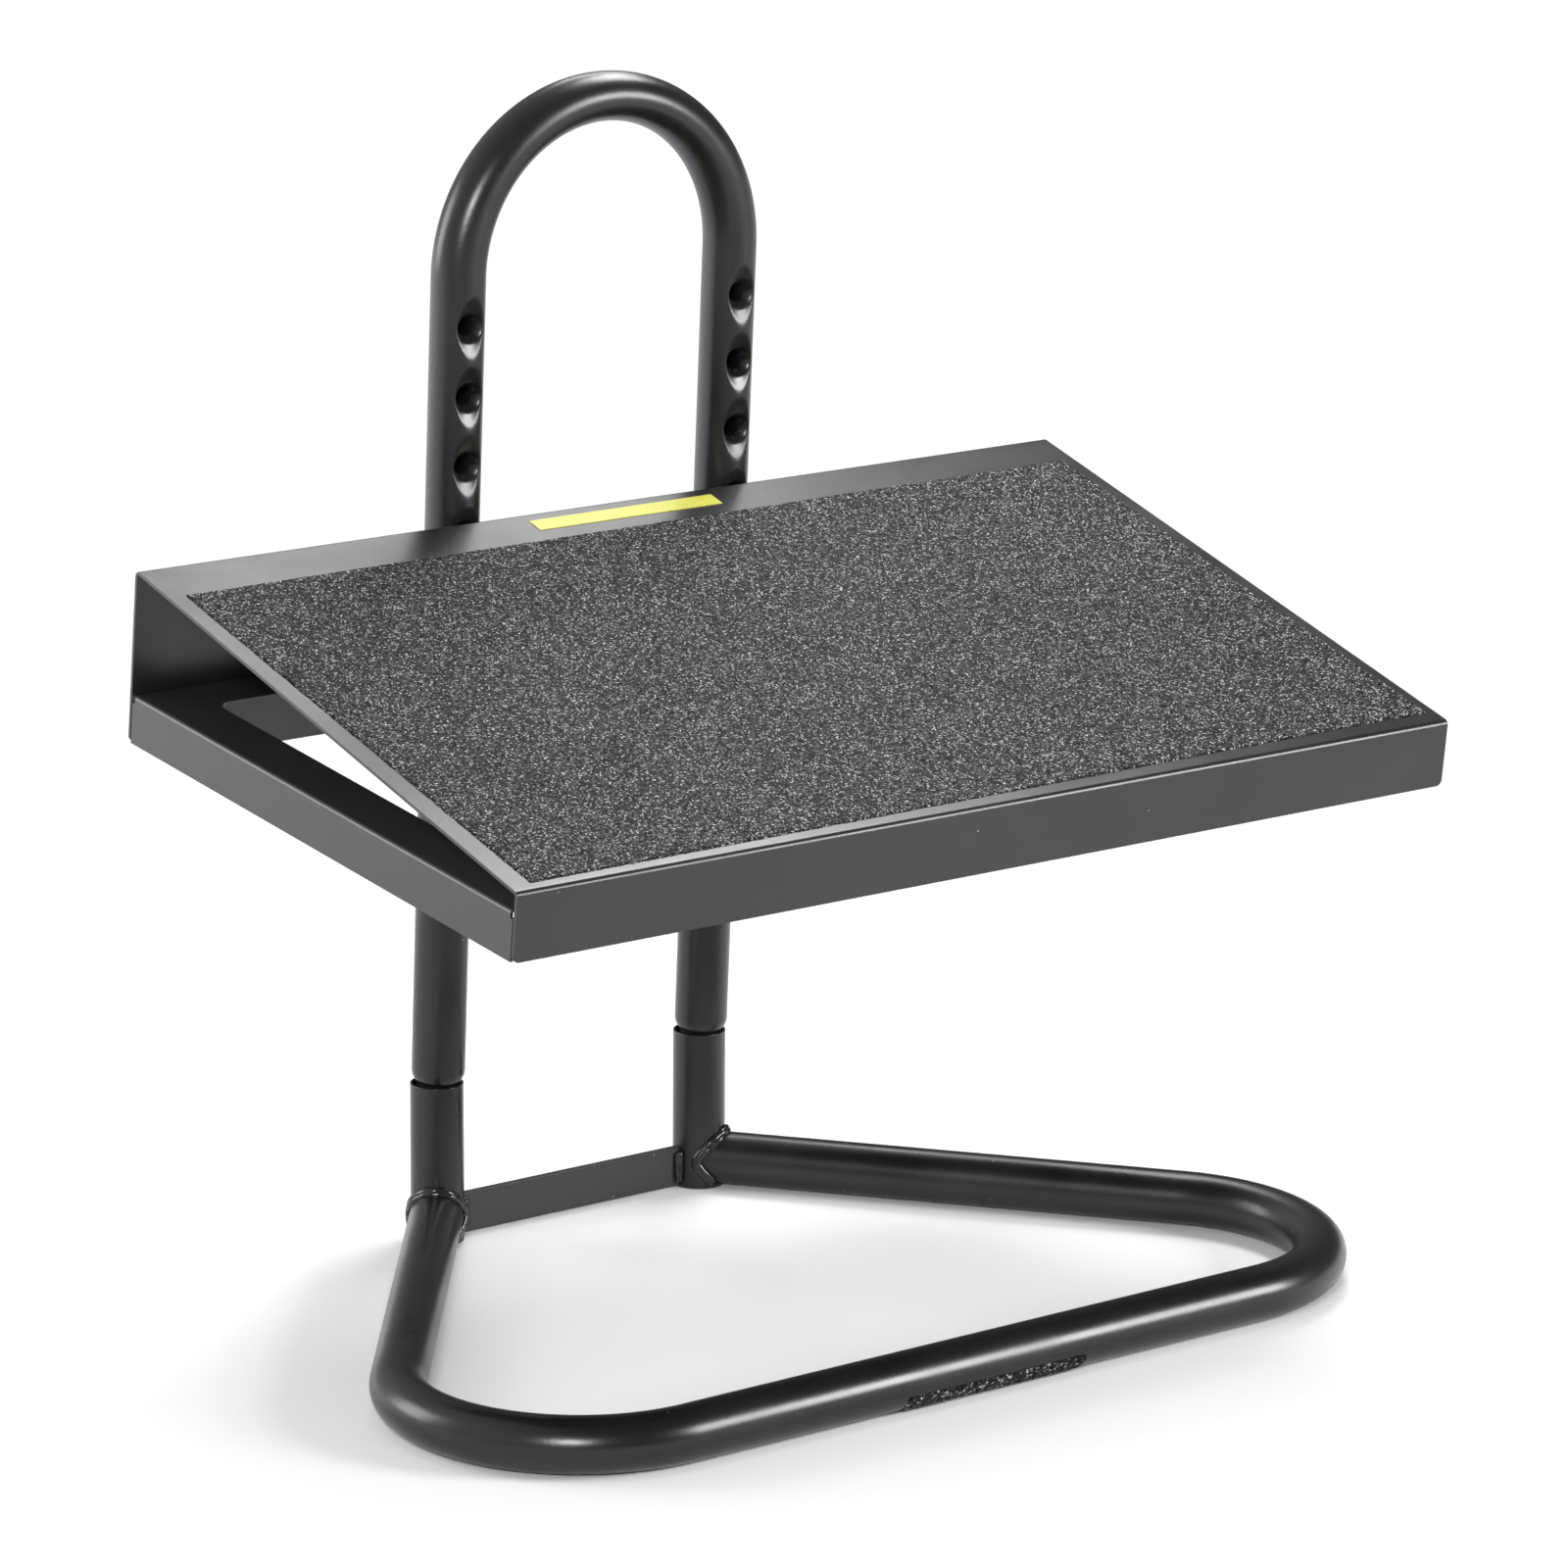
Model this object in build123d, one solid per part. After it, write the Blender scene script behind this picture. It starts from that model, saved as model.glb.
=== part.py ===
from build123d import *
import math
import os

# Adjustable footrest: a bent-tube floor loop carries two short posts, an upper loop plugs into the posts,
# and a wedge-shaped steel platform rides on the upper loop's legs and hangs on two through bolts.
# Millimetres, +Z up, feet come from the front (-Y). Lengths along the legs are measured from the pivot,
# the middle of the plugged length, about which the loop leans in its posts.

# Round tube of the floor loop, the posts and the upper loop
tube_od = 25.0
tube_wall = 1.5
post_wall = 1.2
leg_spacing = 151.0
foot_lift = 1.0

# Floor loop: the virtual corners of its axis, measured from the line of the posts
corner_out = 322.0
corner_front = 314.0
floor_bend = 79.0
cope_setback = 5.0
weld_leg = 2.6

# Posts, their brace and their floor glides
post_top = 76.6
brace_height = 19.0
brace_thickness = 4.0
glide_insert = 12.0
glide_fit = 0.1

# Grip pad under the front of the floor loop
pad_length = 100.0
pad_wrap = 75.0

# Upper loop: plugged ends, lean in the posts, row of dimpled holes
plug_length = 36.0
plug_play = 1.3
shoulder_height = 6.1
shoulder_gap = 0.9
loop_lean = 3.0
loop_height = 476.3
hole_count = 8
hole_pitch = 32.0
top_hole = 379.1
hole_count_above = 4
dish_radius = 14.4
dish_depth = 2.4
throat_radius = 6.5
dimple_depth = 6.2

# Through bolts, washers and knobs
bolt_diameter = 8.0
bolt_clearance = 0.2
head_radius = 6.0
head_height = 2.8
seat_clearance = 0.1
washer_radius = 12.0
washer_thickness = 2.0
stack_gap = 0.3
knob_radius = 20.0
knob_height = 15.0
hub_radius = 10.0
hub_height = 4.0
knob_lobes = 5
lobe_cut_radius = 8.0
thread_fit = 0.1
nut_width = 13.0
nut_height = 6.5
backed_off = 3.75
knob_cap = 3.0

# Platform: wedge of folded sheet, measured from the bottom edge of its rear wall
platform_width = 508.0
platform_depth = 299.0
rear_height = 79.5
front_height = 30.8
sheet = 1.5
bend_radius = 2.6
corner_radius = 3.0
platform_droop = 3.3
wall_gap = 0.3
bolt_above_edge = 38.7

# Tray inside the wedge
tray_level = 22.4
tray_bend = 2.0
tray_end_gap = 0.6
tray_relief = 2.5
tray_border = 27.0
cutout_radius = 8.0
rear_flange_drop = 10.5
rear_flange_inset = 22.0

# Tread sheet and marker strip on the sloping top
tread_width = 493.0
tread_length = 269.0
tread_thickness = 0.9
tread_rear_margin = 26.5
tread_shift = 1.5
tread_skew = 0.43
marker_width = 102.0
marker_length = 9.5
marker_thickness = 0.3
marker_rear_margin = 8.2

# Guide straps round the legs and their rivets
strap_thickness = 2.5
strap_clearance = 0.6
strap_low = 14.6
strap_height = 48.0
strap_flange = 18.0
strap_bend = 3.0
notch_clearance = 0.3
rivet_radius = 2.4
rivet_head_radius = 4.5
rivet_head_height = 1.8
rivet_fit = 0.1
rivet_edge = 12.0

# Sizes that follow from the ones above
tube_r = tube_od / 2
half_span = leg_spacing / 2
loop_axis_z = foot_lift + tube_r
post_bore_r = tube_r - post_wall
neck_r = post_bore_r - plug_play
pivot_z = post_top - plug_length / 2
shoulder_low = plug_length / 2 + shoulder_gap
shoulder_top = shoulder_low + shoulder_height
arch_base = loop_height - half_span
bolt_r = bolt_diameter / 2
hole_r = bolt_r + bolt_clearance
bolt_level = top_hole - hole_count_above * hole_pitch
platform_level = bolt_level - bolt_above_edge
strap_inner = tube_r + strap_clearance
strap_outer = strap_inner + strap_thickness
washer_face = strap_outer + stack_gap
knob_face = washer_face + washer_thickness + stack_gap
knob_back = knob_face + hub_height + knob_height
bolt_end = knob_back - knob_cap - backed_off
slope = math.degrees(math.atan2(rear_height - front_height, platform_depth))

loop_frame = Pos(0, 0, pivot_z) * Rot(loop_lean, 0, 0)
platform_frame = loop_frame * Pos(0, -tube_r - wall_gap, platform_level) * Rot(platform_droop, 0, 0)
panel_frame = platform_frame * Pos(0, 0, rear_height) * Rot(slope, 0, 0)
wall_in_loop = Pos(0, -tube_r - wall_gap, platform_level) * Rot(platform_droop, 0, 0)


def block(x_range, y_range, z_range):
    """A box between two corners."""
    size = [high - low for low, high in (x_range, y_range, z_range)]
    middle = [(high + low) / 2 for low, high in (x_range, y_range, z_range)]
    return Pos(*middle) * Box(*size)


def rod(radius, start, end):
    """A round bar from one point to another."""
    run = Line(start, end)
    return sweep(Plane(origin=start, z_dir=run % 0) * Circle(radius), path=run)


def along_y(radius, y_range):
    """A round bar on the Y axis."""
    return rod(radius, (0, y_range[0], 0), (0, y_range[1], 0))


def tube_along(path, outer_r, inner_r):
    """Outer and inner solids of a tube swept along a path."""
    start = Plane(origin=path @ 0, z_dir=path % 0)
    return sweep(start * Circle(outer_r), path=path), sweep(start * Circle(inner_r), path=path)


# Floor loop: one bent tube, coped on the two posts
def post_point(side):
    return Vector(side * half_span, 0, loop_axis_z)


def corner_point(side):
    return Vector(side * corner_out, -corner_front, loop_axis_z)


def cope_point(side):
    run = (corner_point(side) - post_point(side)).normalized()
    return post_point(side) + run * cope_setback


def post_bar(side, radius):
    """The space of a post, from the floor up."""
    return Pos(side * half_span, 0, post_top / 2) * Cylinder(radius, post_top)


def make_base_loop():
    route = [cope_point(-1), corner_point(-1), corner_point(1), cope_point(1)]
    outer, inner = tube_along(FilletPolyline(*route, radius=floor_bend), tube_r, tube_r - tube_wall)
    return outer - inner - post_bar(-1, tube_r) - post_bar(1, tube_r)


def make_post(side):
    height = post_top - foot_lift
    ring = Circle(tube_r) - Circle(post_bore_r)
    return Pos(side * half_span, 0, foot_lift) * extrude(ring, height)


def make_brace():
    bar = block((-half_span, half_span), (-brace_thickness / 2, brace_thickness / 2),
                (foot_lift, foot_lift + brace_height))
    return bar - post_bar(-1, tube_r) - post_bar(1, tube_r)


def make_loop_weld(side):
    """Bead that follows the line where the loop's end meets its post."""
    run = (corner_point(side) - post_point(side)).normalized()
    far = post_point(side) + run * tube_od
    bead = post_bar(side, tube_r + weld_leg) & rod(tube_r + weld_leg, cope_point(side), far)
    bead = bead - post_bar(side, tube_r) - rod(tube_r, post_point(side), far)
    reach = tube_od * 2
    reached = block((-reach, reach), (-reach, reach), (foot_lift + weld_leg, post_top))
    return bead & (Pos(side * half_span, 0, 0) * reached)


def make_brace_weld(side):
    """Two upright beads, one on each face of the brace, where it meets its post."""
    half = brace_thickness / 2
    inner_x = half_span - tube_r - weld_leg
    levels = (foot_lift, foot_lift + brace_height)
    bead = post_bar(side, tube_r + weld_leg)
    span = sorted((side * inner_x, side * half_span))
    front = bead & block(span, (-half - weld_leg, -half), levels)
    back = bead & block(span, (half, half + weld_leg), levels)
    return Compound(children=[(front - post_bar(side, tube_r)).solid(), (back - post_bar(side, tube_r)).solid()])


def make_glide(side):
    foot = Pos(0, 0, foot_lift / 2) * Cylinder(tube_r - glide_fit, foot_lift)
    insert = Pos(0, 0, foot_lift + glide_insert / 2) * Cylinder(post_bore_r - glide_fit, glide_insert)
    return Pos(side * half_span, 0, 0) * (foot + insert)


def make_grip_pad():
    """Grit strip wrapped round the underside of the front tube."""
    outer = tube_r + foot_lift
    half = math.radians(pad_wrap)
    reach = 2 * outer
    edge = (reach * math.sin(half), -reach * math.cos(half))
    fan = make_face(Polyline((0, 0), edge, (edge[0], -reach), (-edge[0], -reach), (-edge[0], edge[1]), close=True))
    strip = (Circle(outer) - Circle(tube_r)) & fan
    return Pos(0, -corner_front, loop_axis_z) * extrude(Plane.YZ * strip, pad_length / 2, both=True)


# Upper loop, in its own upright frame
def hole_levels():
    return [top_hole - index * hole_pitch for index in range(hole_count)]


def swaged_end(outer):
    """Solid of a leg's narrowed end, or of the space inside it."""
    inset = 0 if outer else tube_wall
    wide = tube_r - inset
    narrow = neck_r - inset
    low = -plug_length / 2
    wall = [Line((0, low), (narrow, low)), Line((narrow, low), (narrow, shoulder_low))]
    if outer:
        step = wide - narrow
        bow = (step ** 2 + shoulder_height ** 2) / (2 * step)
        wall.append(RadiusArc((narrow, shoulder_low), (wide, shoulder_top), -bow))
    else:
        wall.append(Line((narrow, shoulder_low), (wide, shoulder_top)))
    wall.append(Line((wide, shoulder_top), (0, shoulder_top)))
    wall.append(Line((0, shoulder_top), (0, low)))
    return revolve(Plane.XZ * make_face(wall), axis=Axis.Z)


def turned(profile):
    """A solid turned about the Y axis from a profile of radius and Y."""
    return revolve(make_face(profile), axis=Axis.Y)


def dimple(drop):
    """Tool of one punched dimple, set back by a drop: a shallow dish that runs into a steep throat."""
    dish = drop - tube_r
    front = -tube_r - tube_wall
    rim = dish_radius + (dish - front) * (dish_radius - throat_radius) / dish_depth
    floor = dish + dimple_depth
    outline = [(0, floor), (hole_r, floor), (throat_radius, dish + dish_depth), (rim, front), (0, front), (0, floor)]
    return turned(Polyline(*outline).edges())


def make_upper_loop():
    left_leg = Line((-half_span, 0, shoulder_top), (-half_span, 0, arch_base))
    arch = ThreePointArc((-half_span, 0, arch_base), (0, 0, loop_height), (half_span, 0, arch_base))
    right_leg = Line((half_span, 0, arch_base), (half_span, 0, shoulder_top))
    outer, inner = tube_along(Wire([left_leg, arch, right_leg]), tube_r, tube_r - tube_wall)
    for side in (-1, 1):
        foot = Pos(side * half_span, 0, 0)
        outer += foot * swaged_end(True)
        inner += foot * swaged_end(False)
        for level in hole_levels():
            seat = Pos(side * half_span, 0, level)
            outer -= seat * dimple(0)
            inner -= seat * dimple(tube_wall)
    loop = outer - inner
    for side in (-1, 1):
        for level in hole_levels():
            loop -= Pos(side * half_span, 0, level) * along_y(hole_r, (-tube_od, tube_od))
    return loop_frame * loop


# Bolt, washer and knob of one leg, on the bolt's axis
def at_bolt(side):
    return loop_frame * Pos(side * half_span, 0, bolt_level)


def dome(radius, base, top):
    """Profile of a round head, from the middle of its top to its rim."""
    height = abs(top - base)
    ball = (radius ** 2 + height ** 2) / (2 * height)
    drop = ball - math.sqrt(ball ** 2 - radius ** 2 / 4)
    return ThreePointArc((0, top), (radius / 2, top - math.copysign(drop, top - base)), (radius, base))


def make_bolt(side):
    share = (throat_radius - head_radius) / (throat_radius - hole_r)
    seat = dish_depth + share * (dimple_depth - dish_depth) - tube_r - seat_clearance
    front = seat - head_height
    rim = seat - head_height / 3
    outline = [dome(head_radius, rim, front), Line((head_radius, rim), (head_radius, seat))]
    outline += Polyline((head_radius, seat), (bolt_r, seat), (bolt_r, bolt_end), (0, bolt_end), (0, front)).edges()
    return at_bolt(side) * turned(outline)


def make_washer(side):
    disc = along_y(washer_radius, (washer_face, washer_face + washer_thickness))
    return at_bolt(side) * (disc - along_y(hole_r, (0, knob_back)))


def nut_shape():
    """Hexagon nut that is moulded into a knob."""
    start = knob_face + hub_height
    hexagon = RegularPolygon(nut_width / 2, 6, major_radius=False)
    return Pos(0, start, 0) * extrude(Plane.XZ * hexagon, -nut_height)


def make_nut(side):
    return at_bolt(side) * (nut_shape() - along_y(bolt_r + thread_fit, (0, bolt_end + backed_off)))


def make_knob(side):
    hub = along_y(hub_radius, (knob_face, knob_face + hub_height))
    star = along_y(knob_radius, (knob_face + hub_height, knob_back))
    cut_at = knob_radius + lobe_cut_radius / 2
    for index in range(knob_lobes):
        around = Rot(0, 90 + index * 360 / knob_lobes, 0)
        star -= around * Pos(cut_at, 0, 0) * along_y(lobe_cut_radius, (knob_face, knob_back + hub_height))
    rim = star.edges().group_by(Axis.Y)[-1]
    star = fillet(rim, min(knob_cap, knob_height / 4) * 0.8)
    knob = hub + star - nut_shape() - along_y(hole_r, (0, bolt_end + backed_off / 2))
    return at_bolt(side) * knob


# Platform, in the frame of its rear wall: the wall's outer face is y = 0 and its bottom edge z = 0
def rivet_places():
    """Centres of the rivets, in X from the leg and in height above the wall's bottom edge."""
    sideways = strap_outer + strap_flange / 2
    levels = (strap_low + rivet_edge, strap_low + strap_height - rivet_edge)
    return [(direction * sideways, level) for direction in (-1, 1) for level in levels]


def all_rivets(radius, y_range):
    """Round bars at each rivet of both straps."""
    bars = []
    for side in (-1, 1):
        for x, level in rivet_places():
            bars.append(Pos(side * half_span + x, 0, level) * along_y(radius, y_range))
    return bars


def make_foot_plate():
    """Top sheet: rear wall, sloping panel and front skirt, folded from one blank."""
    fall = (rear_height - front_height) / platform_depth
    under = sheet / math.cos(math.radians(slope))

    def inside(y):
        return rear_height + fall * y - under

    back = -sheet
    front = sheet - platform_depth
    outer = FilletPolyline((0, 0), (0, rear_height), (-platform_depth, front_height), (-platform_depth, 0),
                           radius=bend_radius)
    inner = FilletPolyline((back, 0), (back, inside(back)), (front, inside(front)), (front, 0),
                           radius=bend_radius - sheet)
    ends = [Line((0, 0), (back, 0)), Line((-platform_depth, 0), (front, 0))]
    section = make_face(outer.edges() + inner.edges() + ends)
    plate = extrude(Plane.YZ * section, platform_width / 2, both=True)
    feet = plate.edges().filter_by(Axis.Y).group_by(Axis.Z)[0]
    plate = fillet(feet, corner_radius)
    plate -= all_rivets(rivet_radius + rivet_fit, (-2 * sheet, sheet))
    return platform_frame * plate


def make_tray():
    """Shallow pan with a large cut-out; its flanges turn down inside the top sheet."""
    half = platform_width / 2
    back = -sheet
    front = sheet - platform_depth
    top = tray_level
    tray = block((-half, half), (front, back), (top - sheet, top))
    for side in (-1, 1):
        span = sorted((side * half, side * (half - sheet)))
        tray += block(span, (front + tray_end_gap, back - tray_end_gap), (0, top))
    inner_half = half - sheet - tray_relief
    tray += block((-inner_half, inner_half), (front, front + sheet), (0, top))
    rear_half = half - rear_flange_inset
    tray += block((-rear_half, rear_half), (back - sheet, back), (-rear_flange_drop, top))
    for side in (-1, 1):
        for y, inward in ((front, 1), (back, -1)):
            x_range = sorted((side * half, side * (half - tray_relief)))
            y_range = sorted((y, y + inward * tray_relief))
            tray -= block(x_range, y_range, (top - sheet - tray_bend, top + sheet))
    folds = []
    for edge in tray.edges():
        place = edge.center()
        lengthwise = abs(abs(place.X) - half) < 0.01 or abs(place.Y - front) < 0.01 or abs(place.Y - back) < 0.01
        if abs(place.Z - top) < 0.01 and lengthwise and edge.length > tray_border:
            folds.append(edge)
    tray = fillet(folds, tray_bend)
    hole = RectangleRounded(platform_width - 2 * tray_border, platform_depth - 2 * tray_border, cutout_radius)
    tray -= Pos(0, -platform_depth / 2, top - 2 * sheet) * extrude(hole, 3 * sheet)
    return platform_frame * tray


def make_tread():
    middle = -tread_rear_margin - tread_length / 2
    mat = Pos(0, 0, tread_thickness / 2) * Box(tread_width, tread_length, tread_thickness)
    return panel_frame * Pos(tread_shift, middle, 0) * Rot(0, 0, tread_skew) * mat


def make_marker():
    middle = -marker_rear_margin - marker_length / 2
    return panel_frame * Pos(0, middle, marker_thickness / 2) * Box(marker_width, marker_length, marker_thickness)


def make_strap(side):
    """Hat-shaped guide round a leg; the notch in its back straddles the bolt and hangs on it."""
    low = platform_level + strap_low
    levels = (low, low + strap_height)
    deep = -tube_od - rear_height
    shell = block((-strap_outer, strap_outer), (deep, strap_outer), levels)
    shell = fillet(shell.edges().filter_by(Axis.Z).group_by(Axis.Y)[-1], strap_bend)
    shell -= block((-strap_inner, strap_inner), (2 * deep, strap_inner), (low / 2, 2 * low))
    notch_r = bolt_r + notch_clearance
    shell -= block((-notch_r, notch_r), (0, 2 * strap_outer), (low / 2, bolt_level))
    shell -= Pos(0, 0, bolt_level) * along_y(notch_r, (0, 2 * strap_outer))
    reach = 2 * platform_depth
    shell -= wall_in_loop * block((-reach, reach), (-reach, 0), (-reach, reach))
    strap = loop_frame * Pos(side * half_span, 0, 0) * shell
    wing = strap_outer + strap_flange
    for span in ((-wing, -strap_inner), (strap_inner, wing)):
        flange = block(span, (0, strap_thickness), (strap_low, strap_low + strap_height))
        strap += platform_frame * Pos(side * half_span, 0, 0) * flange
    for x, level in rivet_places():
        place = platform_frame * Pos(side * half_span + x, 0, level)
        strap -= place * along_y(rivet_radius + rivet_fit, (-sheet, 2 * strap_thickness))
    return strap


def rivet():
    """Round-head rivet through the rear wall and a strap's flange."""
    inner = -sheet
    outer = strap_thickness
    low = inner - rivet_head_height
    high = outer + rivet_head_height
    outline = [dome(rivet_head_radius, inner, low), dome(rivet_head_radius, outer, high)]
    outline += Polyline((rivet_head_radius, inner), (rivet_radius, inner), (rivet_radius, outer),
                        (rivet_head_radius, outer)).edges()
    outline.append(Line((0, high), (0, low)))
    return turned(outline)


def make_rivets(side):
    rivets = [platform_frame * Pos(side * half_span + x, 0, level) * rivet() for x, level in rivet_places()]
    return Compound(children=[one.solid() for one in rivets])


nodes = {
    "base_loop": make_base_loop(),
    "rear_brace": make_brace(),
    "front_grip_pad": make_grip_pad(),
    "upper_loop": make_upper_loop(),
    "foot_plate": make_foot_plate(),
    "tray": make_tray(),
    "tread_sheet": make_tread(),
    "marker_strip": make_marker(),
}
for side, hand in ((-1, "left"), (1, "right")):
    nodes[hand + "_post"] = make_post(side)
    nodes[hand + "_post_glide"] = make_glide(side)
    nodes[hand + "_loop_weld"] = make_loop_weld(side)
    nodes[hand + "_brace_weld"] = make_brace_weld(side)
    nodes[hand + "_bolt"] = make_bolt(side)
    nodes[hand + "_washer"] = make_washer(side)
    nodes[hand + "_knob"] = make_knob(side)
    nodes[hand + "_knob_nut"] = make_nut(side)
    nodes[hand + "_guide_strap"] = make_strap(side)
    nodes[hand + "_strap_rivets"] = make_rivets(side)

# The origin is on the floor, at the middle of the footprint
boxes = [solid.bounding_box() for solid in nodes.values()]
front_edge = min(box.min.Y for box in boxes)
back_edge = max(box.max.Y for box in boxes)
to_middle = Pos(0, -(front_edge + back_edge) / 2, 0)

os.makedirs("parts", exist_ok=True)
for name, solid in nodes.items():
    export_step(to_middle * solid, os.path.join("parts", name + ".step"))
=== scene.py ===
import math

import bmesh
import bpy
import numpy as np
from mathutils import Matrix, Vector


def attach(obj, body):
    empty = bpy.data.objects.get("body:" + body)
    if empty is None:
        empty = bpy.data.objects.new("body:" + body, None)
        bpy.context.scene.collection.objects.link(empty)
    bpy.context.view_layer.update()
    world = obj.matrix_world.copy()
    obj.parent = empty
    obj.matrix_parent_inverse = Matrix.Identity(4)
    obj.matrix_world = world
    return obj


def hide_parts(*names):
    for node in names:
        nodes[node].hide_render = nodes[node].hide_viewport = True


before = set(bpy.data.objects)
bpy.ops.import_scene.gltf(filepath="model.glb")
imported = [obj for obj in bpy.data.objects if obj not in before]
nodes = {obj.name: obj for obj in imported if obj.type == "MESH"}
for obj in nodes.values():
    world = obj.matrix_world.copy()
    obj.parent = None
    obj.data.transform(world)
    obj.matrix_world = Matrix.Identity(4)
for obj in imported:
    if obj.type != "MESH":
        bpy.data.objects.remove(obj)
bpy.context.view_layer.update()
scene = bpy.context.scene
scene.view_settings.view_transform = "Standard"


# Floor loop
# One length of 25 mm steel tube, bent twice and coped onto the posts.
# It has the satin black powder coat of the whole welded base.
def shader_group(name, inputs, outputs):
    """An empty node group with named sockets; inputs are (name, kind, default)."""
    tree = bpy.data.node_groups.new(name, "ShaderNodeTree")
    for label, kind, default in inputs:
        socket = tree.interface.new_socket(label, in_out="INPUT", socket_type="NodeSocket" + kind)
        socket.default_value = default
    for label, kind in outputs:
        tree.interface.new_socket(label, in_out="OUTPUT", socket_type="NodeSocket" + kind)
    return tree, tree.nodes.new("NodeGroupInput").outputs, tree.nodes.new("NodeGroupOutput").inputs


def put(tree, kind, feeds=(), **settings):
    """A node of that kind with its settings and what feeds its sockets: links or plain values."""
    node = tree.nodes.new("ShaderNode" + kind)
    for key, value in settings.items():
        setattr(node, key, value)
    for key, value in dict(feeds).items():
        if isinstance(value, bpy.types.NodeSocket):
            tree.links.new(value, node.inputs[key])
        else:
            node.inputs[key].default_value = value
    return node


def math_node(tree, operation, first, second=0.0, clamp=False):
    return put(tree, "Math", {0: first, 1: second}, operation=operation, use_clamp=clamp).outputs[0]


def remap(tree, value, low, high, to_low=0.0, to_high=1.0):
    """The value carried from one range to another, and held at its ends."""
    limits = {"From Min": low, "From Max": high, "To Min": to_low, "To Max": to_high}
    return put(tree, "MapRange", {"Value": value, **limits}).outputs["Result"]


def mix_colour(tree, share, first, second, blend="MIX"):
    """Two colours mixed by share; the colour sockets of the node are 6, 7 and, on its way out, 2."""
    feeds = {0: share, 6: first, 7: second}
    return put(tree, "Mix", feeds, data_type="RGBA", blend_type=blend).outputs[2]


def grey(level, warm=0.0):
    """A neutral tone, or one turned a little to warm (above 0) or cool (below 0)."""
    return (level * (1 + warm), level, level * (1 - warm), 1.0)


def make_coat_skin():
    """Powder coat: fine orange peel, slow drift of gloss and tone, and a few specks of dust."""
    tree, given, made = shader_group(
        "coat_skin",
        [("Color", "Color", grey(0.03)), ("Roughness", "Float", 0.4),
         ("Peel", "Float", 1.0), ("Dust", "Float", 1.0)],
        [("Color", "Color"), ("Roughness", "Float"), ("Height", "Float")])
    place = put(tree, "TexCoord").outputs["Object"]
    peel = put(tree, "TexNoise", {"Vector": place, "Scale": 520.0, "Detail": 2.0}).outputs["Fac"]
    drift = put(tree, "TexNoise", {"Vector": place, "Scale": 22.0, "Detail": 3.0}).outputs["Fac"]
    flakes = put(tree, "TexVoronoi", {"Vector": place, "Scale": 210.0})
    lucky = put(tree, "SeparateColor", {"Color": flakes.outputs["Color"]})
    near = remap(tree, flakes.outputs["Distance"], 0.10, 0.05)
    few = remap(tree, lucky.outputs[0], 0.965, 0.97)
    dust = math_node(tree, "MULTIPLY", math_node(tree, "MULTIPLY", near, few), given["Dust"], True)
    toned = mix_colour(tree, remap(tree, drift, 0.35, 0.65, 0.0, 0.12), given["Color"], grey(0.03, 0.03))
    tree.links.new(mix_colour(tree, dust, toned, grey(0.3)), made["Color"])
    gloss = math_node(tree, "ADD", given["Roughness"], remap(tree, drift, 0.3, 0.7, -0.04, 0.04))
    tree.links.new(math_node(tree, "ADD", gloss, math_node(tree, "MULTIPLY", dust, 0.3)), made["Roughness"])
    tree.links.new(math_node(tree, "MULTIPLY", peel, given["Peel"]), made["Height"])
    return tree


coat_skin = make_coat_skin()


def new_material(name, **constants):
    """A material with one Principled shader; constants go straight onto its sockets."""
    material = bpy.data.materials.new(name)
    material.use_nodes = True
    shader = material.node_tree.nodes["Principled BSDF"]
    for key, value in constants.items():
        shader.inputs[key.replace("_", " ")].default_value = value
    return material, material.node_tree, shader


def skin_material(name, group, feeds, relief, depth, **constants):
    """A material whose colour, roughness and fine relief all come from one node group."""
    material, tree, shader = new_material(name, **constants)
    skin = put(tree, "Group", feeds, node_tree=group)
    bump = put(tree, "Bump", {"Height": skin.outputs["Height"], "Strength": relief, "Distance": depth})
    tree.links.new(skin.outputs["Color"], shader.inputs["Base Color"])
    tree.links.new(skin.outputs["Roughness"], shader.inputs["Roughness"])
    tree.links.new(bump.outputs["Normal"], shader.inputs["Normal"])
    return material


def black_coat(name, color, roughness, peel=1.0, dust=1.0):
    feeds = {"Color": color, "Roughness": roughness, "Peel": peel, "Dust": dust}
    return skin_material(name, coat_skin, feeds, relief=0.06, depth=0.0006, IOR=1.5)


def dress(material, *names):
    """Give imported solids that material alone."""
    for name in names:
        mesh = nodes[name].data
        mesh.materials.clear()
        mesh.materials.append(material)


def new_piece(name, body, verts, faces, sharp_above=180, turn_out=False):
    """A smooth piece that moves with that body; turn_out makes every face look out of the solid."""
    mesh = bpy.data.meshes.new(name)
    mesh.from_pydata([tuple(v) for v in verts], [], faces)
    mesh.validate()
    mesh.shade_smooth()
    mesh.set_sharp_from_angle(angle=math.radians(sharp_above))
    if turn_out:
        skin = bmesh.new()
        skin.from_mesh(mesh)
        bmesh.ops.recalc_face_normals(skin, faces=skin.faces)
        skin.to_mesh(mesh)
        skin.free()
    piece = bpy.data.objects.new(name, mesh)
    scene.collection.objects.link(piece)
    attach(piece, body)
    return piece


up = Vector((0, 0, 1))
tube_radius = 0.0125
post_x, post_line = 0.0755, 0.15109
floor_axis = 0.0135
corner_x, front_run, floor_bend = 0.322, -0.16291, 0.079
tube_coat = black_coat("tube_coat", grey(0.0045, -0.03), 0.30)


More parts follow.
